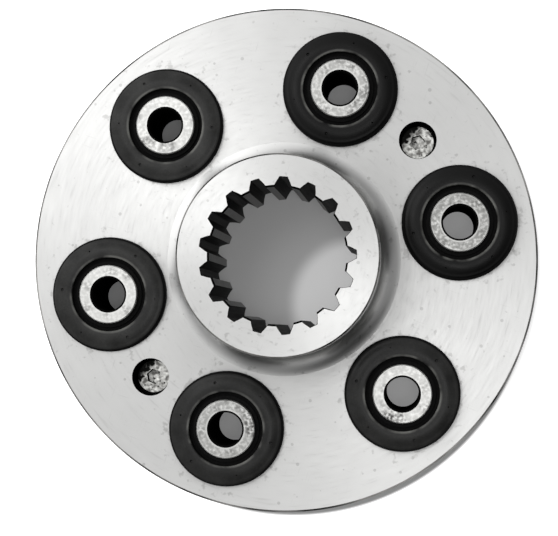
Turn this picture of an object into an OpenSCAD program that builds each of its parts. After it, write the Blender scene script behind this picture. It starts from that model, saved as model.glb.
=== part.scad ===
// Flexible drive coupling for a splined pump shaft.
// The flange and hub are one turned piece. Rubber bushes on steel sleeves carry the drive bolts.
// Millimetres, Z along the shaft, hub up. The coupling lies on its back at Z = 0.

/* [Flange] */
// Outside diameter of the flange disc
flange_d = 130; // [124:1:150]
// Thickness of the flange disc
flange_t = 18; // [16:0.5:26]
// Chamfer on both edges of the rim
rim_edge = 0.5; // [0.3:0.1:1.4]

/* [Hub] */
// Outside diameter of the hub
hub_d = 50.5; // [45:0.5:52]
// Height of the hub above the flange's front face
hub_front = 21; // [12:0.5:32]
// Height of the low boss behind the flange's rear face
hub_rear = 3; // [1:0.1:3.4]
// Chamfer round the hub's front face and the rear boss
hub_edge = 0.7; // [0.3:0.1:1.8]
// Radius of the fillet where the hub rises from the flange
hub_fillet = 6.2; // [1.5:0.1:6.8]
// How far the fillet's circle dips below the flange's front face, which it meets at an angle
fillet_sink = 0.14; // [0.06:0.02:0.3]

/* [Spline] */
// Number of teeth in the bore
spline_teeth = 17; // [13:1:19]
// Diametral pitch: teeth for each inch of pitch diameter
spline_pitch = 12; // [11:0.5:16]
// Pressure angle of the involute flanks
spline_angle = 30; // [25:2.5:37.5]
// Play left between the bore's flanks and the shaft's teeth
spline_play = 0.2; // [0:0.01:0.3]
// Chamfer on the tooth tips at each end of the bore
spline_lead_in = 0.5; // [0.1:0.1:1.2]

/* [Bushes] */
// Diameter of the circle that the bushes stand on
bolt_circle_d = 92; // [90:0.5:97]
// Bore in the flange that a bush is pushed into
bush_bore_d = 23; // [19:0.5:26]
// Diameter of the bush's rubber collar
collar_d = 29.6; // [27:0.2:31.4]
// Height of the rubber collar on the flange's face
collar_h = 3; // [2:0.1:3.4]
// Rounding of the collar's outer edge
collar_edge = 1.3; // [0.4:0.1:1.8]
// Fall of the collar's face from its lip to its rounded edge
collar_fall = 0.4; // [0.1:0.1:0.8]
// Width of the moulded ring groove round the sleeve
groove_w = 2; // [1.2:0.1:3]
// Depth of that groove below the lip
groove_depth = 2; // [0.8:0.1:2.6]
// Bevel on the lip outside the groove
lip_edge = 0.3; // [0.1:0.1:0.6]
// Width of the narrow rubber ledge left against the sleeve
ledge_w = 1; // [0.4:0.1:1.1]
// Height of that ledge above the groove's floor
ledge_h = 0.8; // [0.2:0.1:1.4]

/* [Sleeves] */
// Outside diameter of a spacer sleeve
sleeve_d = 15; // [12:0.5:17]
// Bore of a sleeve, for the drive bolt
sleeve_bore_d = 8.5; // [6.6:0.1:10.5]
// How far a sleeve stands out of each face of the flange
sleeve_proud = 3.5; // [3.5:0.1:6]
// Chamfer on a sleeve's outer edges
sleeve_edge = 0.25; // [0.1:0.05:0.6]
// Chamfer at both mouths of a sleeve's bore
mouth_edge = 0.5; // [0.2:0.05:0.8]

/* [Set screws] */
// Thread diameter of a set screw
screw_d = 9.5; // [8:0.5:10]
// Length of a set screw
screw_len = 10; // [6:1:10]
// Depth of the screw's socket end below the flange's front face
screw_depth = 6; // [3:0.5:7]
// Chamfer at both ends of the screw
screw_edge = 0.6; // [0.2:0.1:1]
// Width across the flats of the screw's hexagon socket
socket_af = 3.5; // [2.5:0.5:4]
// Depth of the hexagon socket
socket_depth = 3; // [1.5:0.5:4]
// Gap round the screw's end in the recess that opens its hole to the front
recess_gap = 0.1; // [0.1:0.1:1.2]
// Depth of that recess below the flange's front face
recess_depth = 8; // [7:0.5:9]

/* [Hidden] */
$fn = 96;
// Counts that the names in NODES depend on
bush_count = 6;
screw_count = 2;
bush_step = 360 / bush_count;
screw_step = 360 / screw_count;

// How far a cutting shape runs past the face that it opens
cut = 1;

// Heights above the plane that the coupling lies on, which is that of its lowest ends
rear_face = max(sleeve_proud, hub_rear, collar_h);
front_face = rear_face + flange_t;
hub_foot = rear_face - hub_rear;
hub_top = front_face + hub_front;
hub_len = hub_top - hub_foot;
sleeve_foot = rear_face - sleeve_proud;
sleeve_len = flange_t + 2 * sleeve_proud;

// The circle that the fillet's centres lie on, and the lowest level of its arc
fillet_r = hub_d / 2 + hub_fillet;
fillet_floor = front_face - fillet_sink;

// Standard proportions of a flat-root involute spline with half-depth teeth
inch = 25.4;
root_allowance = 1.35;
tip_allowance = 1;
pitch_r = spline_teeth / spline_pitch * inch / 2;
base_r = pitch_r * cos(spline_angle);
root_r = (spline_teeth + root_allowance) / spline_pitch * inch / 2;
tip_r = (spline_teeth - tip_allowance) / spline_pitch * inch / 2;
tooth_step = 360 / spline_teeth;
flank_points = 6;

// Angle in degrees of a length along a circle of radius r
function arc_angle(length, r) = length / r * 180 / PI;

// Involute function of an angle, in degrees
function involute(a) = arc_angle(tan(a), 1) - a;

// Half the angle that a tooth space spans at radius r
function space_half(r) =
    tooth_step / 4 + involute(spline_angle) - involute(acos(base_r / r)) + arc_angle(spline_play / 2, r);

// Point of a space's flank at radius r, on side +1 or -1
function flank_point(r, side) = r * [cos(space_half(r)), side * sin(space_half(r))];

// Outline of one tooth space on +X, run a little past the tips and the roots
module tooth_space() {
    inner_r = max(base_r, tip_r - cut);
    outer_r = root_r + cut;
    radii = [for (i = [0:flank_points]) inner_r + (outer_r - inner_r) * i / flank_points];
    outward = [for (r = radii) flank_point(r, -1)];
    inward = [for (i = [flank_points:-1:0]) flank_point(radii[i], 1)];
    polygon(concat(outward, inward));
}

// Cone that breaks the tooth tips where the bore opens, its wide end up
module lead_in() {
    cylinder(r1 = tip_r - cut, r2 = tip_r + spline_lead_in + cut, h = spline_lead_in + 2 * cut);
}

// All that is cut out of the hub: a round bore, the tooth spaces and a lead-in at each end.
// A tooth stands on +X, in line with bush 1.
module spline_bore() {
    bore_len = hub_len + 2 * cut;
    translate([0, 0, hub_foot - cut]) {
        cylinder(r = tip_r, h = bore_len);
        intersection() {
            cylinder(r = root_r, h = bore_len);
            for (i = [0:spline_teeth - 1])
                rotate((i + 0.5) * tooth_step) linear_extrude(bore_len) tooth_space();
        }
    }
    translate([0, 0, hub_top - spline_lead_in - cut]) lead_in();
    translate([0, 0, hub_foot + spline_lead_in + cut]) rotate([180, 0, 0]) lead_in();
}

// Upright round bar with the same chamfer at both ends
module turned_bar(d, h, edge) {
    cylinder(d1 = d - 2 * edge, d2 = d, h = edge);
    translate([0, 0, edge]) cylinder(d = d, h = h - 2 * edge);
    translate([0, 0, h - edge]) cylinder(d1 = d, d2 = d - 2 * edge, h = edge);
}

// Ring in the corner of hub and flange, hollowed to the fillet's radius
module hub_root() {
    difference() {
        translate([0, 0, fillet_floor - fillet_sink])
            cylinder(r = fillet_r, h = hub_fillet + fillet_sink);
        translate([0, 0, fillet_floor + hub_fillet])
            rotate_extrude() translate([fillet_r, 0]) circle(r = hub_fillet);
    }
}

// Places its children on the bolt circle, at an angle from bush 1
module on_bolt_circle(angle) {
    rotate(angle) translate([bolt_circle_d / 2, 0, 0]) children();
}

module at_bush(i) {
    on_bolt_circle((i - 1) * bush_step) children();
}

// The screws stand half-way between two bushes
module at_screw(i) {
    on_bolt_circle(bush_step / 2 + (i - 1) * screw_step) children();
}

// Tapped hole for a set screw, opened wider at the front
module screw_hole() {
    translate([0, 0, rear_face - cut]) cylinder(d = screw_d, h = flange_t + 2 * cut);
    translate([0, 0, front_face - recess_depth])
        cylinder(d = screw_d + 2 * recess_gap, h = recess_depth + cut);
}

// Flange and hub, turned in one piece, bored for the bushes and broached for the shaft
module flange_hub() {
    color("lightgray") difference() {
        union() {
            translate([0, 0, rear_face]) turned_bar(flange_d, flange_t, rim_edge);
            hub_root();
            translate([0, 0, hub_foot]) turned_bar(hub_d, hub_len, hub_edge);
        }
        spline_bore();
        for (i = [1:bush_count])
            at_bush(i) translate([0, 0, rear_face - cut]) cylinder(d = bush_bore_d, h = flange_t + 2 * cut);
        for (i = [1:screw_count])
            at_screw(i) screw_hole();
    }
}

// Cone that chamfers the mouth of a sleeve's bore, its wide end up
module sleeve_mouth() {
    cylinder(d1 = sleeve_bore_d, d2 = sleeve_bore_d + 2 * (mouth_edge + cut), h = mouth_edge + cut);
}

// Spacer sleeve that the drive bolt clamps, chamfered inside and out
module sleeve(i) {
    color("silver") at_bush(i) translate([0, 0, sleeve_foot]) difference() {
        turned_bar(sleeve_d, sleeve_len, sleeve_edge);
        translate([0, 0, -cut]) cylinder(d = sleeve_bore_d, h = sleeve_len + 2 * cut);
        translate([0, 0, sleeve_len - mouth_edge]) sleeve_mouth();
        translate([0, 0, mouth_edge]) rotate([180, 0, 0]) sleeve_mouth();
    }
}

// Section of the collar: a face that falls from the lip to a rounded outer edge
module collar_section() {
    sleeve_r = sleeve_d / 2;
    edge_r = collar_d / 2 - collar_edge;
    edge_z = collar_h - collar_fall - collar_edge;
    polygon([
        [sleeve_r, 0],
        [collar_d / 2, 0],
        [collar_d / 2, edge_z],
        [edge_r, edge_z],
        [edge_r, edge_z + collar_edge],
        [sleeve_r + groove_w + lip_edge, collar_h],
        [sleeve_r, collar_h]
    ]);
    translate([edge_r, edge_z]) intersection() {
        circle(r = collar_edge);
        square(collar_edge);
    }
}

// Section of the groove round the sleeve, with its bevelled lip and the ledge inside it
module groove_section() {
    sleeve_r = sleeve_d / 2;
    groove_r = sleeve_r + groove_w;
    floor_z = collar_h - groove_depth;
    polygon([
        [sleeve_r - cut, floor_z + ledge_h],
        [sleeve_r + ledge_w, floor_z + ledge_h],
        [sleeve_r + ledge_w, floor_z],
        [groove_r, floor_z],
        [groove_r, collar_h - lip_edge],
        [groove_r + lip_edge + cut, collar_h + cut],
        [sleeve_r - cut, collar_h + cut]
    ]);
}

// Half of a rubber bush: its neck reaches the middle of the flange, its collar lies on the face
module half_bush() {
    rotate_extrude() difference() {
        union() {
            translate([sleeve_d / 2, -flange_t / 2]) square([(bush_bore_d - sleeve_d) / 2, flange_t / 2]);
            collar_section();
        }
        groove_section();
    }
}

module front_bush(i) {
    color("#2b2b2b") at_bush(i) translate([0, 0, front_face]) half_bush();
}

module rear_bush(i) {
    color("#2b2b2b") at_bush(i) translate([0, 0, rear_face]) rotate([180, 0, 0]) half_bush();
}

// Set screw with a hexagon socket, below the flange's front face
module set_screw(i) {
    socket_d = socket_af / cos(30);
    color("gray") at_screw(i) translate([0, 0, front_face - screw_depth - screw_len]) difference() {
        turned_bar(screw_d, screw_len, screw_edge);
        translate([0, 0, screw_len - socket_depth])
            cylinder(d = socket_d, h = socket_depth + cut, $fn = 6);
    }
}

flange_hub();
for (i = [1:bush_count]) {
    sleeve(i);
    front_bush(i);
    rear_bush(i);
}
for (i = [1:screw_count])
    set_screw(i);
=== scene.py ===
import math

import bmesh
import bpy
from mathutils import Matrix, Vector


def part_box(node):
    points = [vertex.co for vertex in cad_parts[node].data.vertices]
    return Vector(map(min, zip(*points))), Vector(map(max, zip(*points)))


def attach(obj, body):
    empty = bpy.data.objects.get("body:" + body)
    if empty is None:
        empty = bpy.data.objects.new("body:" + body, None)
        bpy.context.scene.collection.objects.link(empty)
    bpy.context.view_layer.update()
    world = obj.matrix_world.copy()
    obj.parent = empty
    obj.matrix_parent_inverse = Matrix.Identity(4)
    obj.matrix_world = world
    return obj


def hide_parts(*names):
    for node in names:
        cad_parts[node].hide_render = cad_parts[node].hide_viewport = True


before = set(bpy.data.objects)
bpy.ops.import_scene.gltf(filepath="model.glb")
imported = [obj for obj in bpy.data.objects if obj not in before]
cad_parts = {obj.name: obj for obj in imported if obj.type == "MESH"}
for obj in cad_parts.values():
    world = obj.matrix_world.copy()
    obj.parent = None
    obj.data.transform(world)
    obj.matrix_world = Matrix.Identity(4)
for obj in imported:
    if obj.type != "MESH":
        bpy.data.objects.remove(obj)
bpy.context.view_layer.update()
MM = 0.001

# Flange and hub
# One piece of steel, turned on a lathe to a satin face, bored for the bushes, tapped for two
# set screws and broached with the spline that the pump's shaft slides into.

flange_low, flange_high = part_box("flange_hub")
sleeve_low, sleeve_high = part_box("sleeve_1")
bush_low, bush_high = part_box("front_bush_1")
screw_low, screw_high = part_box("set_screw_1")
bolt_count = 6
bolt_radius = (sleeve_low.x + sleeve_high.x) / 2
bolt_step = math.tau / bolt_count
collar_radius = (bush_high.x - bush_low.x) / 2
screw_count = 2
screw_angle = bolt_step / 2

flange_radius = flange_high.x
flange_steps = 360
rim_edge = 0.5 * MM
sleeve_proud = 3.5 * MM
rear_face = sleeve_low.z + sleeve_proud
front_face = sleeve_high.z - sleeve_proud

hub_radius = 25.25 * MM
hub_foot = flange_low.z
hub_top = flange_high.z
hub_edge = 0.4 * MM
hub_fillet = 6.2 * MM
fillet_sink = 0.14 * MM
fillet_points = 24

bush_bore_radius = 11.5 * MM
bush_bore_steps = 96
screw_radius = (screw_high.x - screw_low.x) / 2
screw_steps = 64
recess_radius = screw_radius + 0.1 * MM
recess_depth = 8 * MM
past_face = 1 * MM
past_flare = 0.05 * MM

spline_teeth = 17
spline_module = 25.4 / 12 * MM
spline_angle = math.radians(30)
spline_play = 0.2 * MM
spline_lead_in = 0.5 * MM
spline_burr = 0.12 * MM
pitch_radius = spline_teeth * spline_module / 2
base_radius = pitch_radius * math.cos(spline_angle)
root_radius = (spline_teeth + 1.35) * spline_module / 2
tip_radius = (spline_teeth - 1) * spline_module / 2
flank_points = 8
root_points = 4


def linear(hex_colour):
    """Linear colour of an sRGB hex value."""
    shares = [int(hex_colour[i:i + 2], 16) / 255 for i in (1, 3, 5)]
    return (*[s / 12.92 if s <= 0.04045 else ((s + 0.055) / 1.055) ** 2.4 for s in shares], 1.0)


def add_node(tree, kind, links=(), **settings):
    """Adds a node. Settings are its own fields, and links gives its inputs a socket or a value."""
    node = tree.nodes.new(kind)
    for field, value in settings.items():
        setattr(node, field, value)
    for key, value in dict(links).items():
        if isinstance(value, bpy.types.NodeSocket):
            tree.links.new(value, node.inputs[key])
        else:
            node.inputs[key].default_value = value
    return node


def new_finish(name):
    """A material without any nodes yet, and its node tree."""
    finish = bpy.data.materials.new(name)
    finish.use_nodes = True
    finish.node_tree.nodes.clear()
    return finish, finish.node_tree


def maths(tree, operation, *values):
    """Adds one step of arithmetic on numbers, each a socket or a value."""
    return add_node(tree, "ShaderNodeMath", dict(enumerate(values)), operation=operation).outputs[0]


def vector_maths(tree, operation, *values):
    """Adds one step of vector arithmetic. A length, a distance and a dot product give a number."""
    result = "Value" if operation in ("LENGTH", "DISTANCE", "DOT_PRODUCT") else "Vector"
    made = add_node(tree, "ShaderNodeVectorMath", dict(enumerate(values)), operation=operation)
    return made.outputs[result]


def ramp(tree, value, start=0.0, end=1.0, low=0.0, high=1.0, kind="LINEAR"):
    """Adds a ramp: a value from start to end becomes one from low to high, and stays there beyond."""
    links = {"Value": value, "From Min": start, "From Max": end, "To Min": low, "To Max": high}
    return add_node(tree, "ShaderNodeMapRange", links, interpolation_type=kind).outputs[0]


def noise(tree, place, scale, detail):
    """Adds a cloudy pattern from 0 to 1."""
    links = {"Vector": place, "Scale": scale, "Detail": detail}
    return add_node(tree, "ShaderNodeTexNoise", links).outputs["Fac"]


def blend(tree, share, first, second):
    """Adds a mix of two colours, with the second one's share."""
    links = {"Factor": share, "A": first, "B": second}
    return add_node(tree, "ShaderNodeMix", links, data_type="RGBA").outputs["Result"]


def paint(tree, inputs):
    """Adds the surface's shader and the material's output."""
    shader = add_node(tree, "ShaderNodeBsdfPrincipled", inputs).outputs[0]
    add_node(tree, "ShaderNodeOutputMaterial", {"Surface": shader})


def turned_steel():
    """Mild steel, turned: near-white satin that brightens in two fans across the lathe's marks.
    Specks of rust, short scratches and rubbed grime round the bushes break it up. Steep walls,
    the hub's side and the flange's outer edge, are painted darker as shade, most of all low down."""
    finish, tree = new_finish("turned_steel")
    feed_mark = 0.6 * MM   # a real feed of 0.15 mm is finer than the picture shows
    marks_round = 9
    blotch = 22 * MM
    speck_gap = 6.5 * MM
    scratch = (0.35 * MM, 6 * MM)
    scratch_turns = (0.5, 2.1)
    grime_size = 1.6 * MM
    rub_reach = 5 * MM
    rub_share = 0.16
    knock_share = 0.07
    # height above the face where the steep walls' painted shade has faded to its least
    wall_shade_height = 16 * MM
    place = add_node(tree, "ShaderNodeTexCoord").outputs["Object"]
    normal = add_node(tree, "ShaderNodeNewGeometry").outputs["Normal"]
    spot = add_node(tree, "ShaderNodeSeparateXYZ", {0: place}).outputs
    flat = vector_maths(tree, "MULTIPLY", place, (1, 1, 0))
    radius = vector_maths(tree, "LENGTH", flat)

    round_axis = vector_maths(tree, "CROSS_PRODUCT", (0, 0, 1), place)
    across = vector_maths(tree, "CROSS_PRODUCT", normal, round_axis)
    across = vector_maths(tree, "NORMALIZE", across)

    outward = vector_maths(tree, "NORMALIZE", flat)
    outward = add_node(
        tree, "ShaderNodeVectorMath", {0: outward, "Scale": marks_round}, operation="SCALE").outputs[0]
    travel = maths(tree, "ADD", radius, spot["Z"])
    travel = maths(tree, "MULTIPLY", travel, 1 / feed_mark)
    travel = add_node(tree, "ShaderNodeCombineXYZ", {"Z": travel}).outputs[0]
    lathe = vector_maths(tree, "ADD", outward, travel)
    marks = noise(tree, lathe, 1.0, 2.0)
    arcs = ramp(tree, marks, 0.62, 0.78)

    cloud = noise(tree, place, 1 / blotch, 3.0)
    cells = add_node(
        tree, "ShaderNodeTexVoronoi", {"Vector": place, "Scale": 1 / speck_gap},
        voronoi_dimensions="2D").outputs
    speck_size = add_node(tree, "ShaderNodeSeparateColor", {0: cells["Color"]}).outputs[0]
    speck_size = ramp(tree, speck_size, 0.45, high=0.075)
    specks = maths(tree, "GREATER_THAN", speck_size, cells["Distance"])

    scratches = 0.0
    for turn in scratch_turns:
        drawn = add_node(
            tree, "ShaderNodeMapping", {"Vector": flat, "Rotation": (0, 0, turn)}).outputs[0]
        drawn = vector_maths(tree, "MULTIPLY", drawn, (1 / scratch[0], 1 / scratch[1], 1))
        lines = noise(tree, drawn, 1.0, 1.0)
        lines = ramp(tree, lines, 0.7, 0.8)
        scratches = maths(tree, "ADD", lines, scratches)

    bearing = maths(tree, "ARCTAN2", spot["Y"], spot["X"])
    bearing = maths(tree, "WRAP", bearing, -bolt_step / 2, bolt_step / 2)
    reach = maths(tree, "COSINE", bearing)
    reach = maths(tree, "MULTIPLY", reach, radius)
    reach = maths(tree, "MULTIPLY_ADD", reach, -2 * bolt_radius, bolt_radius ** 2)
    reach = maths(tree, "MULTIPLY_ADD", radius, radius, reach)
    reach = maths(tree, "SQRT", reach)
    rubbed = ramp(tree, reach, collar_radius, collar_radius + rub_reach, rub_share, 0.0)
    grime = noise(tree, place, 1 / grime_size, 3.0)
    knocked = ramp(tree, radius, hub_radius, hub_radius + hub_fillet, knock_share, 0.0)
    for share in (rubbed, knocked):
        grime = maths(tree, "ADD", grime, share)
    grime = ramp(tree, grime, 0.7, 0.8)

    level = add_node(tree, "ShaderNodeSeparateXYZ", {0: normal}).outputs["Z"]
    level = maths(tree, "ABSOLUTE", level)
    steep = ramp(tree, level, 0.75, 0.25)
    on_faces = maths(tree, "SUBTRACT", 1.0, steep)
    specks, scratches = [maths(tree, "MULTIPLY", mask, on_faces) for mask in (specks, scratches)]
    # painted shade: steep walls are mixed towards dark grey, most of all low down beside the fillet
    low_down = ramp(tree, spot["Z"], front_face + wall_shade_height, front_face + hub_fillet)
    painted_wall_shade = ramp(tree, low_down, low=0.2)
    painted_wall_shade = maths(tree, "MULTIPLY", steep, painted_wall_shade)
    steel = blend(tree, cloud, linear("#bebebd"), linear("#cacac9"))
    for mask, share, colour in (
            (arcs, 0.22, "#9a9a99"), (scratches, 0.2, "#8a8a88"), (grime, 0.35, "#767573"),
            (specks, 0.3, "#6d6c6a"), (painted_wall_shade, 0.6, "#4a4a48")):
        amount = maths(tree, "MULTIPLY", mask, share)
        steel = blend(tree, amount, steel, linear(colour))

    lean = ramp(tree, level, 0.9998, 0.995)
    rough = ramp(tree, marks, low=0.42, high=0.52)
    on_slopes = ramp(tree, low_down, low=0.5, high=0.34)
    rough = add_node(tree, "ShaderNodeMix", {"Factor": lean, "A": rough, "B": on_slopes}).outputs["Result"]
    fan = ramp(tree, lean, low=0.8, high=0.3)
    bump = add_node(
        tree, "ShaderNodeBump", {"Height": marks, "Strength": 0.08, "Distance": 0.02 * MM}).outputs[0]
    paint(tree, {
        "Base Color": steel, "Metallic": 1.0, "Roughness": rough, "Anisotropic": fan, "Normal": bump,
        "Tangent": across})
    return finish


def bored_steel():
    """Steel as the boring tool leaves it: a dark grey with tool lines, darker near the hub's top
    and paler further down the bore.
    """
    finish, tree = new_finish("bored_steel")
    tool_line = 0.5 * MM
    line_length = 25 * MM
    grain = (1 / line_length, 1 / line_length, 1 / tool_line)
    place = add_node(tree, "ShaderNodeTexCoord").outputs["Object"]
    drawn = add_node(tree, "ShaderNodeMapping", {"Vector": place, "Scale": grain}).outputs[0]
    lines = noise(tree, drawn, 1.0, 2.0)
    depth = add_node(tree, "ShaderNodeSeparateXYZ", {0: place}).outputs["Z"]
    depth = ramp(tree, depth, hub_top, hub_foot)
    paler_deeper = maths(tree, "MULTIPLY", lines, depth)
    grey = blend(tree, paler_deeper, linear("#20201f"), linear("#7a7977"))
    rough = ramp(tree, lines, low=0.3, high=0.5)
    paint(tree, {"Base Color": grey, "Metallic": 1.0, "Roughness": rough})
    return finish


def scaled_steel():
    """Steel at the chamfered edges, painted as shade: a thin dark line, black here and grey there."""
    finish, tree = new_finish("scaled_steel")
    patch = 12 * MM
    place = add_node(tree, "ShaderNodeTexCoord").outputs["Object"]
    patches = noise(tree, place, 1 / patch, 2.0)
    patches = ramp(tree, patches, 0.35, 0.65)
    dark = blend(tree, patches, linear("#1e1e1d"), linear("#868583"))
    rough = ramp(tree, patches, low=0.5, high=0.4)
    paint(tree, {"Base Color": dark, "Metallic": 1.0, "Roughness": rough})
    return finish


def oiled_steel(name, sheen):
    """Steel, matt and almost black in the drilled holes, with a faint sheen on the broached teeth that
    shows their flanks. On the spline's lead-in chamfer the same black stands as painted shade."""
    finish, tree = new_finish(name)
    tool_line = 0.5 * MM
    line_length = 25 * MM
    grain = (1 / tool_line, 1 / tool_line, 1 / line_length)
    place = add_node(tree, "ShaderNodeTexCoord").outputs["Object"]
    drawn = add_node(tree, "ShaderNodeMapping", {"Vector": place, "Scale": grain}).outputs[0]
    lines = noise(tree, drawn, 1.0, 2.0)
    dark = blend(tree, lines, linear("#060606"), linear("#121211"))
    rough = ramp(tree, lines, low=0.5, high=0.7)
    paint(tree, {"Base Color": dark, "Roughness": rough, "Specular IOR Level": sheen})
    return finish


def new_piece(name, points, faces):
    """A piece in the scene from its points and faces, with every face turned outwards."""
    mesh = bpy.data.meshes.new(name)
    shell = bmesh.new()
    made = [shell.verts.new(p) for p in points]
    for face in faces:
        shell.faces.new([made[i] for i in face])
    bmesh.ops.recalc_face_normals(shell, faces=shell.faces)
    shell.to_mesh(mesh)
    shell.free()
    piece = bpy.data.objects.new(name, mesh)
    bpy.context.scene.collection.objects.link(piece)
    return piece


def turned(name, section, steps):
    """A piece turned round Z from a closed section of (radius, height) points."""
    points = []
    rings = []
    for radius, height in section:
        angles = [math.tau * i / steps for i in range(steps)] if radius > 0 else [0]
        rings.append(range(len(points), len(points) + len(angles)))
        points += [(radius * math.cos(a), radius * math.sin(a), height) for a in angles]
    faces = []
    for ring, after in zip(rings, rings[1:] + rings[:1]):
        for i in range(steps):
            corners = [ring[i % len(ring)], ring[(i + 1) % len(ring)],
                       after[(i + 1) % len(after)], after[i % len(after)]]
            face = list(dict.fromkeys(corners))
            if len(face) > 2:
                faces.append(face)
    return new_piece(name, points, faces)


def make_plain(piece):
    """Turns what the piece's modifiers make into its own plain mesh, and takes them off."""
    graph = bpy.context.evaluated_depsgraph_get()
    made = bpy.data.meshes.new_from_object(
        piece.evaluated_get(graph), preserve_all_data_layers=True, depsgraph=graph)
    piece.modifiers.clear()
    piece.data = made


def cut_away(piece, cutter):
    """Takes the cutter's shape out of the piece. The new walls keep the cutter's material."""
    cut = piece.modifiers.new("cut", "BOOLEAN")
    cut.operation = "DIFFERENCE"
    cut.solver = "EXACT"
    cut.material_mode = "TRANSFER"
    cut.object = cutter
    make_plain(piece)
    bpy.data.objects.remove(cutter)


def crisp_edges(piece, angle=math.radians(32)):
    """Shades the piece smooth, apart from its real edges and the lines where a slope meets a flat face."""
    piece.data.shade_smooth()
    piece.data.set_sharp_from_angle(angle=angle)
    shell = bmesh.new()
    shell.from_mesh(piece.data)
    for edge in shell.edges:
        flats = [abs(face.normal.z) > 0.99999 for face in edge.link_faces]
        if any(flats) and not all(flats):
            edge.smooth = False
    shell.to_mesh(piece.data)
    shell.free()


def ring_tree():
    """Geometry Nodes that set copies of a shape in a ring, each with a random turn, width and wear."""
    tree = bpy.data.node_groups.new("ring_of_pieces", "GeometryNodeTree")
    for name, kind in (
            ("Geometry", "Geometry"), ("Count", "Int"), ("Radius", "Float"), ("First angle", "Float"),
            ("Loose turn", "Float"), ("Loose width", "Float"), ("Seed", "Int"), ("Finish", "Material"),
            ("Inside finish", "Material")):
        tree.interface.new_socket(name, in_out="INPUT", socket_type=f"NodeSocket{kind}")
    tree.interface.new_socket("Geometry", in_out="OUTPUT", socket_type="NodeSocketGeometry")
    given = add_node(tree, "NodeGroupInput").outputs
    index = add_node(tree, "GeometryNodeInputIndex").outputs[0]
    step = maths(tree, "DIVIDE", math.tau, given["Count"])
    angle = maths(tree, "MULTIPLY_ADD", index, step, given["First angle"])
    east = maths(tree, "COSINE", angle)
    north = maths(tree, "SINE", angle)
    outward = add_node(tree, "ShaderNodeCombineXYZ", {"X": east, "Y": north}).outputs[0]
    place = add_node(
        tree, "ShaderNodeVectorMath", {0: outward, "Scale": given["Radius"]}, operation="SCALE").outputs[0]
    points = add_node(tree, "GeometryNodePoints", {"Count": given["Count"], "Position": place}).outputs[0]
    loose = add_node(
        tree, "FunctionNodeRandomValue", {"Max": given["Loose turn"], "ID": index, "Seed": given["Seed"]},
        data_type="FLOAT").outputs["Value"]
    turn = maths(tree, "ADD", angle, loose)
    upright = add_node(tree, "ShaderNodeCombineXYZ", {"Z": turn}).outputs[0]
    wear = add_node(
        tree, "FunctionNodeRandomValue", {"ID": index, "Seed": given["Seed"]},
        data_type="FLOAT").outputs["Value"]
    width = maths(tree, "MULTIPLY", wear, given["Loose width"])
    width = maths(tree, "SUBTRACT", 1.0, width)
    width = add_node(tree, "ShaderNodeCombineXYZ", {"X": width, "Y": width, "Z": 1.0}).outputs[0]
    copies = add_node(
        tree, "GeometryNodeInstanceOnPoints",
        {"Points": points, "Instance": given["Geometry"], "Rotation": upright, "Scale": width}).outputs[0]
    copies = add_node(
        tree, "GeometryNodeStoreNamedAttribute", {"Geometry": copies, "Name": "wear", "Value": wear},
        data_type="FLOAT", domain="INSTANCE").outputs[0]
    real = add_node(tree, "GeometryNodeRealizeInstances", {"Geometry": copies}).outputs[0]
    inside = add_node(
        tree, "GeometryNodeInputNamedAttribute", {"Name": "inside"},
        data_type="BOOLEAN").outputs["Attribute"]
    outer = add_node(
        tree, "GeometryNodeSetMaterial", {"Geometry": real, "Material": given["Finish"]}).outputs[0]
    inner = add_node(
        tree, "GeometryNodeSetMaterial",
        {"Geometry": outer, "Selection": inside, "Material": given["Inside finish"]}).outputs[0]
    add_node(tree, "NodeGroupOutput", {"Geometry": inner})
    return tree


ring_of_pieces = ring_tree()


def set_in_ring(piece, **inputs):
    """Repeats the piece in a ring and makes the result its plain mesh."""
    ring = piece.modifiers.new("ring", "NODES")
    ring.node_group = ring_of_pieces
    for item in ring_of_pieces.interface.items_tree:
        key = item.name.lower().replace(" ", "_")
        if item.in_out == "INPUT" and key in inputs:
            ring[item.identifier] = inputs[key]
    make_plain(piece)


def involute(angle):
    """Involute function of a pressure angle."""
    return math.tan(angle) - angle


def space_half(radius):
    """Half the angle that a space between two spline teeth spans at a radius."""
    pressure = math.acos(base_radius / radius)
    at_pitch = math.pi / 2 / spline_teeth + involute(spline_angle)
    return at_pitch - involute(pressure) + spline_play / 2 / radius


def tooth_space(name):
    """The space between two spline teeth on +X, as a tall prism with involute flanks, an arc at its
    root and both ends flared, which breaks the teeth's edges."""
    inner = base_radius
    radii = [inner + (root_radius - inner) * i / flank_points for i in range(flank_points + 1)]
    half = space_half(root_radius)
    flare = spline_burr + past_flare
    points = []
    for height, spread in (
            (hub_foot - past_flare, flare), (hub_foot + spline_burr, 0),
            (hub_top - spline_burr, 0), (hub_top + past_flare, flare)):
        flank = [(r, space_half(r) + spread / r) for r in radii]
        flank[-1] = (root_radius + spread, half + spread / root_radius)
        arc = [
            (root_radius + spread, (half + spread / root_radius) * (1 - 2 * i / root_points))
            for i in range(1, root_points)]
        outline = flank + arc + [(r, -a) for r, a in reversed(flank)]
        points += [(r * math.cos(a), r * math.sin(a), height) for r, a in outline]
    count = len(outline)
    walls = [
        (low + i, low + (i + 1) % count, low + count + (i + 1) % count, low + count + i)
        for low in (0, count, 2 * count) for i in range(count)]
    return new_piece(name, points, [range(count), range(3 * count, 4 * count), *walls])


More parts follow.
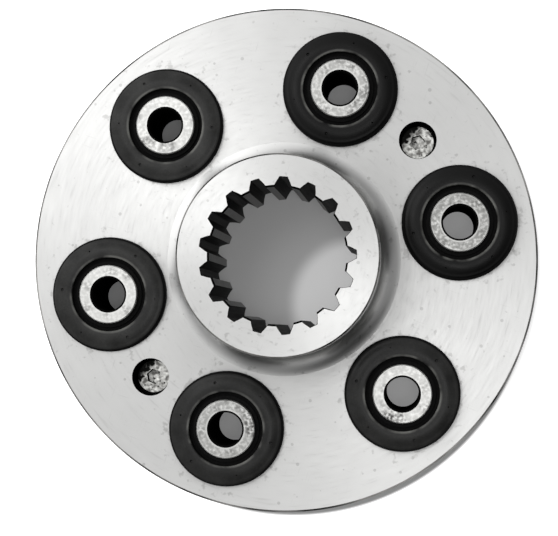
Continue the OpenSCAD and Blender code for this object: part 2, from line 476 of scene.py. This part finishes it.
fillet_radius = hub_radius + hub_fillet
fillet_floor = front_face - fillet_sink
fillet_foot = math.pi - math.asin(1 - fillet_sink / hub_fillet)
fillet_turns = [
    fillet_foot + (math.pi - fillet_foot) * i / fillet_points for i in range(fillet_points + 1)]
fillet = [
    (fillet_radius + hub_fillet * math.cos(a), fillet_floor + hub_fillet * (1 - math.sin(a)))
    for a in fillet_turns]
flange_section = [
    (tip_radius, hub_foot + spline_lead_in),
    (tip_radius + spline_lead_in, hub_foot),
    (hub_radius - hub_edge, hub_foot),
    (hub_radius, hub_foot + hub_edge),
    (hub_radius, rear_face),
    (flange_radius - rim_edge, rear_face),
    (flange_radius, rear_face + rim_edge),
    (flange_radius, front_face - rim_edge),
    (flange_radius - rim_edge, front_face),
    *fillet,
    (hub_radius, hub_top - hub_edge),
    (hub_radius - hub_edge, hub_top),
    (tip_radius + spline_lead_in, hub_top),
    (tip_radius, hub_top - spline_lead_in),
]
face_finish = turned_steel()
bore_finish = oiled_steel("oiled_steel", sheen=0.0)
broached_finish = oiled_steel("broached_steel", sheen=0.07)
flange_and_hub = turned("flange_and_hub", flange_section, flange_steps)
for finish in (face_finish, bore_finish, bored_steel(), scaled_steel()):
    flange_and_hub.data.materials.append(finish)
in_lead_in, on_tooth_tips, on_chamfers = 1, 2, 3
chamfers = ((hub_radius, hub_edge), (flange_radius, rim_edge))
for wall in flange_and_hub.data.polygons:
    reach = wall.center.to_2d().length
    depth_in_wall = reach - tip_radius
    if depth_in_wall < spline_lead_in * 0.25:
        wall.material_index = on_tooth_tips
    # painted shade: the spline's lead-in chamfer takes the near-black finish
    elif depth_in_wall < spline_lead_in * 0.75:
        wall.material_index = in_lead_in
    # painted shade: the chamfers at the hub's edge and the flange's edge take the dark edge finish
    if any(0.1 * edge < radius - reach < 0.9 * edge for radius, edge in chamfers):
        wall.material_index = on_chamfers

tooth_spaces = tooth_space("tooth_spaces")
set_in_ring(
    tooth_spaces, count=spline_teeth, first_angle=math.pi / spline_teeth,
    finish=broached_finish, inside_finish=broached_finish)
cut_away(flange_and_hub, tooth_spaces)
bush_bores = turned("bush_bores", [
    (0, rear_face - past_face), (bush_bore_radius, rear_face - past_face),
    (bush_bore_radius, front_face + past_face), (0, front_face + past_face)], bush_bore_steps)
set_in_ring(
    bush_bores, count=bolt_count, radius=bolt_radius, finish=bore_finish, inside_finish=bore_finish)
cut_away(flange_and_hub, bush_bores)
screw_holes = turned("screw_holes", [
    (0, rear_face - past_face), (screw_radius, rear_face - past_face),
    (screw_radius, front_face - recess_depth), (recess_radius, front_face - recess_depth),
    (recess_radius, front_face + past_face), (0, front_face + past_face)], screw_steps)
set_in_ring(
    screw_holes, count=screw_count, radius=bolt_radius, first_angle=screw_angle,
    finish=bore_finish, inside_finish=bore_finish)
cut_away(flange_and_hub, screw_holes)
crisp_edges(flange_and_hub)
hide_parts("flange_hub")
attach(flange_and_hub, "root")

# Spacer sleeves
# Six short lengths of steel tube, faced and chamfered in a lathe. The bushes grip them, and
# each takes the clamp load of one drive bolt, so their ends stand proud of the rubber.

sleeve_radius = (sleeve_high.x - sleeve_low.x) / 2
sleeve_bore_radius = 4.25 * MM
sleeve_edge = 0.25 * MM
sleeve_steps = 96
mouth_edge = 0.5 * MM
mouth_radius = sleeve_bore_radius + mouth_edge
rim_width = 1.5 * sleeve_edge
rim_highlight_share = 0.5


def cut_tube_steel():
    """Cold-drawn steel tube, faced: a painted highlight at the bore's mouth and the outer edge, a mottled
    grey face between them and smudges of dark grease. Some ends are duller than others."""
    finish, tree = new_finish("cut_tube_steel")
    smear = 5 * MM
    smear_start = (139 * MM, 141 * MM, -38 * MM)   # puts the smudges on three of the sleeves
    nick = 0.75 * MM
    place = add_node(tree, "ShaderNodeTexCoord").outputs["Object"]
    rim = add_node(tree, "ShaderNodeAttribute", attribute_name="rim").outputs["Fac"]
    wear = add_node(tree, "ShaderNodeAttribute", attribute_name="wear").outputs["Fac"]
    nicks = noise(tree, place, 1 / nick, 3.0)
    smeared = vector_maths(tree, "ADD", place, smear_start)
    grease = noise(tree, smeared, 1 / smear, 2.0)
    grease_and_painted_shadow = ramp(tree, grease, 0.52, 0.72)
    spots = ramp(tree, nicks, 0.38, 0.62)
    grease_and_painted_shadow = maths(tree, "MULTIPLY", grease_and_painted_shadow, spots)
    steel = blend(tree, wear, linear("#7a7a78"), linear("#b0b0ae"))
    mottle = ramp(tree, nicks, 0.55, 0.3, high=0.6)
    # painted highlight: paler at the mouth and outer edge, mixed with random mottle
    pale = maths(tree, "MAXIMUM", rim, mottle)
    for mask, colour in ((pale, "#c2c2c0"), (grease_and_painted_shadow, "#4a4948")):
        steel = blend(tree, mask, steel, linear(colour))
    rough = ramp(tree, nicks, low=0.3, high=0.5)
    paint(tree, {"Base Color": steel, "Metallic": 1.0, "Roughness": rough})
    return finish


def mark_inside(piece):
    """Marks the walls of the piece's bore, which face its own axis."""
    walls = piece.data.attributes.new("inside", "BOOLEAN", "FACE")
    for wall, mark in zip(piece.data.polygons, walls.data):
        mark.value = wall.normal.to_2d().dot(wall.center.to_2d().normalized()) < -0.6


def mark_rim_highlights(piece):
    """Marks the points of the piece near its bore's mouth and near its outer edge, for a painted
    highlight.
    """
    rim_highlights = piece.data.attributes.new("rim", "FLOAT", "POINT")
    for point, mark in zip(piece.data.vertices, rim_highlights.data):
        reach = point.co.to_2d().length
        on_rim = reach < mouth_radius + rim_width or reach > sleeve_radius - rim_width
        mark.value = rim_highlight_share * on_rim


sleeve_end = [
    (sleeve_bore_radius, mouth_edge),
    *[(mouth_radius + i * sleeve_edge, 0) for i in (0, 1, 2)],
    *[(sleeve_radius - i * sleeve_edge, 0) for i in (3, 2, 1)],
    (sleeve_radius, sleeve_edge),
]
sleeve_section = [(radius, sleeve_low.z + fall) for radius, fall in sleeve_end]
sleeve_section += [(radius, sleeve_high.z - fall) for radius, fall in reversed(sleeve_end)]
sleeves = turned("sleeves", sleeve_section, sleeve_steps)
mark_rim_highlights(sleeves)
mark_inside(sleeves)
crisp_edges(sleeves)
set_in_ring(
    sleeves, count=bolt_count, radius=bolt_radius, seed=1384, finish=cut_tube_steel(),
    inside_finish=bore_finish)
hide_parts(*[f"sleeve_{i + 1}" for i in range(bolt_count)])
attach(sleeves, "root")

# Rubber bushes
# Twelve half-bushes, moulded in black rubber and pushed into the flange's bores from both
# sides. Each has a collar that lies on the flange's face and a groove round the sleeve.

collar_height = bush_high.z - front_face
neck_length = front_face - bush_low.z
collar_edge = 1.3 * MM
collar_fall = 0.4 * MM
collar_crown = 0.22 * MM
groove_width = 2 * MM
groove_depth = 2 * MM
lip_edge = 0.3 * MM
ledge_width = 1 * MM
ledge_height = 0.8 * MM
pit_radius = 0.45 * MM
pit_depth = 0.7 * MM
pit_circle = 12.1 * MM
pit_count = 6
edge_points = 8
lip_points = 4
bush_steps = 128
pit_steps = 16


def moulded_rubber():
    """Black nitrile rubber, moulded: grey-black satin with a trace of bloom and a lip rubbed pale."""
    finish, tree = new_finish("moulded_rubber")
    grain = 0.5 * MM
    bloom = 6 * MM
    place = add_node(tree, "ShaderNodeTexCoord").outputs["Object"]
    lip = add_node(tree, "ShaderNodeAttribute", attribute_name="lip").outputs["Fac"]
    wear = add_node(tree, "ShaderNodeAttribute", attribute_name="wear").outputs["Fac"]
    fine = noise(tree, place, 1 / grain, 2.0)
    haze = noise(tree, place, 1 / bloom, 3.0)
    dust = maths(tree, "MULTIPLY_ADD", haze, fine, haze)
    dust = maths(tree, "MULTIPLY", dust, wear)
    black = blend(tree, dust, linear("#030303"), linear("#393938"))
    rubbed = ramp(tree, haze, 0.4, 0.62)
    rubbed = maths(tree, "MULTIPLY", lip, rubbed)
    black = blend(tree, rubbed, black, linear("#62625f"))
    rough = ramp(tree, haze, low=0.22, high=0.42)
    bump = add_node(
        tree, "ShaderNodeBump", {"Height": fine, "Strength": 0.25, "Distance": 0.05 * MM}).outputs[0]
    paint(tree, {"Base Color": black, "Roughness": rough, "Specular IOR Level": 0.12, "Normal": bump})
    return finish


def cut_rubber():
    """The same rubber, painted matt and wholly black as shade: at the collar's outer edge, in the groove
    and in the pits.
    """
    finish, tree = new_finish("cut_rubber")
    grain = 0.5 * MM
    place = add_node(tree, "ShaderNodeTexCoord").outputs["Object"]
    fine = noise(tree, place, 1 / grain, 2.0)
    black = blend(tree, fine, linear("#020202"), linear("#141414"))
    paint(tree, {"Base Color": black, "Roughness": 0.75, "Specular IOR Level": 0.08})
    return finish


rubber = moulded_rubber()
rubber_shade = cut_rubber()


def half_bush(name, face, side):
    """One half-bush on the axis, its collar on a face of the flange, on the front or rear side."""
    groove_radius = sleeve_radius + groove_width
    lip_radius = groove_radius + lip_edge
    ledge_radius = sleeve_radius + ledge_width
    edge_radius = collar_radius - collar_edge
    edge_height = collar_height - collar_fall - collar_edge
    groove_floor = collar_height - groove_depth
    turns = [math.pi / 2 * i / edge_points for i in range(edge_points + 1)]
    rounded = [
        (edge_radius + collar_edge * math.cos(a), edge_height + collar_edge * math.sin(a)) for a in turns]
    shares = [i / edge_points for i in range(1, edge_points)]
    crowned = [
        (edge_radius + (lip_radius - edge_radius) * s,
         collar_height - collar_fall * (1 - s) + collar_crown * math.sin(math.pi * s))
        for s in shares]
    turns = [math.pi / 2 * (1 + i / lip_points) for i in range(lip_points + 1)]
    rounded_lip = [
        (lip_radius + lip_edge * math.cos(a), collar_height - lip_edge * (1 - math.sin(a))) for a in turns]
    section = [
        (sleeve_radius, -neck_length),
        (bush_bore_radius, -neck_length),
        (bush_bore_radius, 0),
        (collar_radius, 0),
        *rounded,
        *crowned,
        *rounded_lip,
        (groove_radius, groove_floor),
        (ledge_radius, groove_floor),
        (ledge_radius, groove_floor + ledge_height),
        (sleeve_radius, groove_floor + ledge_height),
    ]
    bush = turned(name, [(r, face + side * z) for r, z in section], bush_steps)
    top = collar_height + past_face
    pits = turned("pits", [
        (0, face + side * (collar_height - pit_depth)),
        (pit_radius, face + side * (collar_height - pit_depth / 2)),
        (pit_radius, face + side * top),
        (0, face + side * top)], pit_steps)
    set_in_ring(
        pits, count=pit_count, radius=pit_circle, loose_width=0.75, seed=4, finish=rubber_shade,
        inside_finish=rubber_shade)
    cut_away(bush, pits)
    bush.data.attributes.remove(bush.data.attributes["wear"])
    lips = bush.data.attributes.new("lip", "FLOAT", "POINT")
    for point, mark in zip(bush.data.vertices, lips.data):
        mark.value = groove_radius < point.co.to_2d().length < lip_radius + lip_edge / 2
    # painted shade: the groove and ledge and the collar's outer edge are marked for the black rubber
    shaded_faces = bush.data.attributes.new("inside", "BOOLEAN", "FACE")
    for wall, mark in zip(bush.data.polygons, shaded_faces.data):
        reach = wall.center.to_2d().length
        mark.value = reach < groove_radius + lip_edge / 8 or reach > edge_radius + collar_edge * 0.55
    crisp_edges(bush)
    return bush


for name, face, side, seed in (("front_bush", front_face, 1, 3976), ("rear_bush", rear_face, -1, 8)):
    bushes = half_bush(f"{name}es", face, side)
    set_in_ring(
        bushes, count=bolt_count, radius=bolt_radius, loose_turn=math.tau / pit_count, seed=seed,
        finish=rubber, inside_finish=rubber_shade)
    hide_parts(*[f"{name}_{i + 1}" for i in range(bolt_count)])
    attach(bushes, "root")

# Set screws
# Two socket set screws, rolled and plated, turned down below the flange's face in the tapped
# holes that also take the puller's screws.

screw_edge = 0.6 * MM
socket_sides = 6
socket_radius = 1.75 * MM / math.cos(math.pi / socket_sides)
socket_depth = 3 * MM
drill_point = 0.6 * MM
shaded_side = Vector((-0.62, 0.78))   # the side of each screw's end that is painted black as shadow from the hole's edge


def plated_steel():
    """Alloy steel with a thin dull plating: grey-bright and bitten where the end was cut, with spots of
    grime, and a black painted shadow on one side, where the hole's edge shades the end."""
    finish, tree = new_finish("plated_steel")
    tool_bite = 1.3 * MM
    spot = 0.8 * MM
    place = add_node(tree, "ShaderNodeTexCoord").outputs["Object"]
    painted_shadow = add_node(tree, "ShaderNodeAttribute", attribute_name="painted_shadow").outputs["Fac"]
    bite = noise(tree, place, 1 / tool_bite, 1.5)
    dirt_and_painted_shadow = noise(tree, place, 1 / spot, 1.0)
    steel = ramp(tree, bite, 0.35, 0.65)
    steel = blend(tree, steel, linear("#545351"), linear("#b2b2af"))
    # painted shadow: black over the shaded side of the end, ragged at its edge
    grease_and_painted_shadow = maths(tree, "ADD", bite, painted_shadow)
    grease_and_painted_shadow = ramp(tree, grease_and_painted_shadow, 0.92, 1.06)
    dirt_and_painted_shadow = ramp(tree, dirt_and_painted_shadow, 0.65, 0.73)
    dirt_and_painted_shadow = maths(tree, "MAXIMUM", dirt_and_painted_shadow, grease_and_painted_shadow)
    steel = blend(tree, dirt_and_painted_shadow, steel, linear("#0e0e0d"))
    bump = add_node(
        tree, "ShaderNodeBump", {"Height": bite, "Strength": 0.4, "Distance": 0.3 * MM}).outputs[0]
    paint(tree, {"Base Color": steel, "Metallic": 1.0, "Roughness": 0.35, "Normal": bump})
    return finish


set_screws = turned("set_screws", [
    (0, screw_low.z), (screw_radius - screw_edge, screw_low.z), (screw_radius, screw_low.z + screw_edge),
    (screw_radius, screw_high.z - screw_edge), (screw_radius - screw_edge, screw_high.z),
    (0, screw_high.z)], screw_steps)
socket = turned("socket", [
    (0, screw_high.z - socket_depth - drill_point), (socket_radius, screw_high.z - socket_depth),
    (socket_radius, screw_high.z + past_face), (0, screw_high.z + past_face)], socket_sides)
cut_away(set_screws, socket)
mark_inside(set_screws)
crisp_edges(set_screws)
set_in_ring(
    set_screws, count=screw_count, radius=bolt_radius, first_angle=screw_angle,
    loose_turn=math.tau / socket_sides, seed=5, finish=plated_steel(), inside_finish=bore_finish)
# painted shadow: each end is darker towards the side its hole's edge shades
painted_shadow = set_screws.data.attributes.new("painted_shadow", "FLOAT", "POINT")
first_screw = Vector((math.cos(screw_angle), math.sin(screw_angle))) * bolt_radius
for point, mark in zip(set_screws.data.vertices, painted_shadow.data):
    spot = point.co.to_2d()
    middle = first_screw if spot.dot(first_screw) > 0 else -first_screw
    mark.value = (spot - middle).dot(shaded_side) / screw_radius
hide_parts(*[f"set_screw_{i + 1}" for i in range(screw_count)])
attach(set_screws, "root")

# Studio
# A pale floor that glows of itself, painted with shade round the coupling and a pool of light seen
# through its bore, a soft lamp up to the left and a dimmer one overhead, walls that are bright on
# that side and dark in the opposite corner, and the camera where the picture was taken.

floor_radius = 4.0
floor_corners = 96
floor_cloud = 1 / 3
picture_width = 558
focal_length = 1713.8   # in the picture's own pixels, as its width is
picture_turn = math.radians(11.385)
to_frame = Matrix.Rotation(-picture_turn, 3, "Z")
lens_place = Vector((32.558, -18.086, 440.0)) * MM
lens_tilt = -0.0357
lens_pan = -0.0766

scene = bpy.context.scene
scene.view_settings.view_transform = "Standard"


def towards(bearing, slant=90):
    """Unit vector to one side of the picture. Slant is its angle from straight above, in degrees."""
    bearing, slant = math.radians(bearing), math.radians(slant)
    side = math.sin(slant)
    return to_frame @ Vector((side * math.cos(bearing), side * math.sin(bearing), math.cos(slant)))


# painted shade on the floor: dim under the coupling and in a crescent off to one side
under_shade_radius = flange_radius - 2 * MM
under_shade_blur = 6 * MM
shade_middle = towards(281) * 3.5 * MM
shade_radius = 64 * MM
shade_blur = 1 * MM
shade_glow = 0.07
# painted light: a brighter pool on the floor seen through the bore, brighter towards one side
light_patch_middle = towards(328) * 21 * MM
light_patch_blur = 2.5 * MM
light_patch_glow = (0.17, 0.42)
slope_glow = (0.08, 0.32)
rim_fade = (flange_radius - 9 * MM, flange_radius - 4 * MM)


def pale_floor():
    """A pale floor that glows of itself, as on a light table: white, and dim with painted shade where the
    coupling stands, with a painted pool of light seen through its bore.
    """
    finish, tree = new_finish("pale_floor")
    place = add_node(tree, "ShaderNodeTexCoord").outputs["Object"]
    cloud = noise(tree, place, 1 / floor_cloud, 2.0)
    glow = 1.0
    for middle, reach, blur in (
            (Vector(), under_shade_radius, under_shade_blur), (shade_middle, shade_radius, shade_blur)):
        radius = vector_maths(tree, "DISTANCE", place, middle)
        lit = ramp(tree, radius, reach, reach + blur, shade_glow, kind="SMOOTHSTEP")
        glow = maths(tree, "MINIMUM", lit, glow)
    radius = vector_maths(tree, "LENGTH", place)
    patch = vector_maths(tree, "DISTANCE", place, light_patch_middle)
    patch = ramp(
        tree, patch, tip_radius + light_patch_blur, tip_radius - light_patch_blur, *light_patch_glow, kind="SMOOTHSTEP")
    slope = vector_maths(tree, "DOT_PRODUCT", place, light_patch_middle.normalized())
    slope = ramp(tree, slope, -bolt_radius, bolt_radius, *slope_glow)
    under = ramp(tree, radius, root_radius, hub_radius + hub_fillet, patch, slope)
    inside_rim = ramp(tree, radius, *rim_fade, 1.0, 0.0)
    under = maths(tree, "MULTIPLY", under, inside_rim)
    glow = maths(tree, "MAXIMUM", glow, under)
    glass = blend(tree, cloud, linear("#f2f2f2"), linear("#f6f6f6"))
    # painted shade: the floor's colour is darker where its glow is dim
    glass = blend(tree, glow, linear("#b4b4b4"), glass)
    paint(tree, {
        "Base Color": glass, "Roughness": 0.9, "Emission Color": glass, "Emission Strength": glow})
    return finish


floor = new_piece(
    "floor",
    [(floor_radius * math.cos(math.tau * i / floor_corners),
      floor_radius * math.sin(math.tau * i / floor_corners), 0) for i in range(floor_corners)],
    [range(floor_corners)])
floor.data.materials.append(pale_floor())

lamp_distance = 1.2
key_side = 140


def soft_lamp(name, heading, size, power):
    """A square soft lamp that shines on the coupling from where the heading points."""
    lamp = bpy.data.lights.new(name, "AREA")
    lamp.shape = "SQUARE"
    lamp.size = size
    lamp.energy = power
    place = heading * lamp_distance
    holder = bpy.data.objects.new(name, lamp)
    holder.matrix_world = Matrix.Translation(place) @ place.to_track_quat("Z", "Y").to_matrix().to_4x4()
    scene.collection.objects.link(holder)


soft_lamp("key_lamp", towards(key_side, 20), size=0.35, power=1.6)
soft_lamp("fill_lamp", towards(318, 7), size=0.2, power=1.1)

world = bpy.data.worlds.new("studio")
world.use_nodes = True
sky = world.node_tree
ray = add_node(sky, "ShaderNodeTexCoord").outputs["Generated"]


def wall_glow(heading, edge, core, beyond, within, kind="SMOOTHSTEP"):
    """A wall's light: its level beyond its edge and within its core, in degrees from its heading."""
    facing = vector_maths(sky, "DOT_PRODUCT", ray, heading)
    edge, core = [math.cos(math.radians(angle)) for angle in (edge, core)]
    return ramp(sky, facing, edge, core, beyond, within, kind)


bright_wall = wall_glow(
    towards(key_side, 45), edge=72.5424, core=0, beyond=0.38, within=1.46, kind="LINEAR")
dark_corner = wall_glow(towards(302, 48), edge=34, core=12, beyond=1.0, within=0.05)
low_wall = wall_glow(towards(key_side, 62), edge=40, core=15, beyond=0.0, within=0.8)
glow = maths(sky, "MULTIPLY_ADD", bright_wall, dark_corner, low_wall)
sky.links.new(glow, sky.nodes["Background"].inputs["Strength"])
sky.nodes["Background"].inputs["Color"].default_value = (1, 1, 1, 1)
scene.world = world

lens = bpy.data.cameras.new("camera")
lens.sensor_width = 36
lens.lens = focal_length / picture_width * lens.sensor_width
camera = bpy.data.objects.new("camera", lens)
aim = Matrix.Rotation(lens_tilt, 3, "X") @ Matrix.Rotation(lens_pan, 3, "Y")
camera.matrix_world = (
    Matrix.Translation(to_frame @ lens_place + Vector((0, 0, front_face)))
    @ (to_frame @ aim.transposed()).to_4x4())
scene.collection.objects.link(camera)
scene.camera = camera
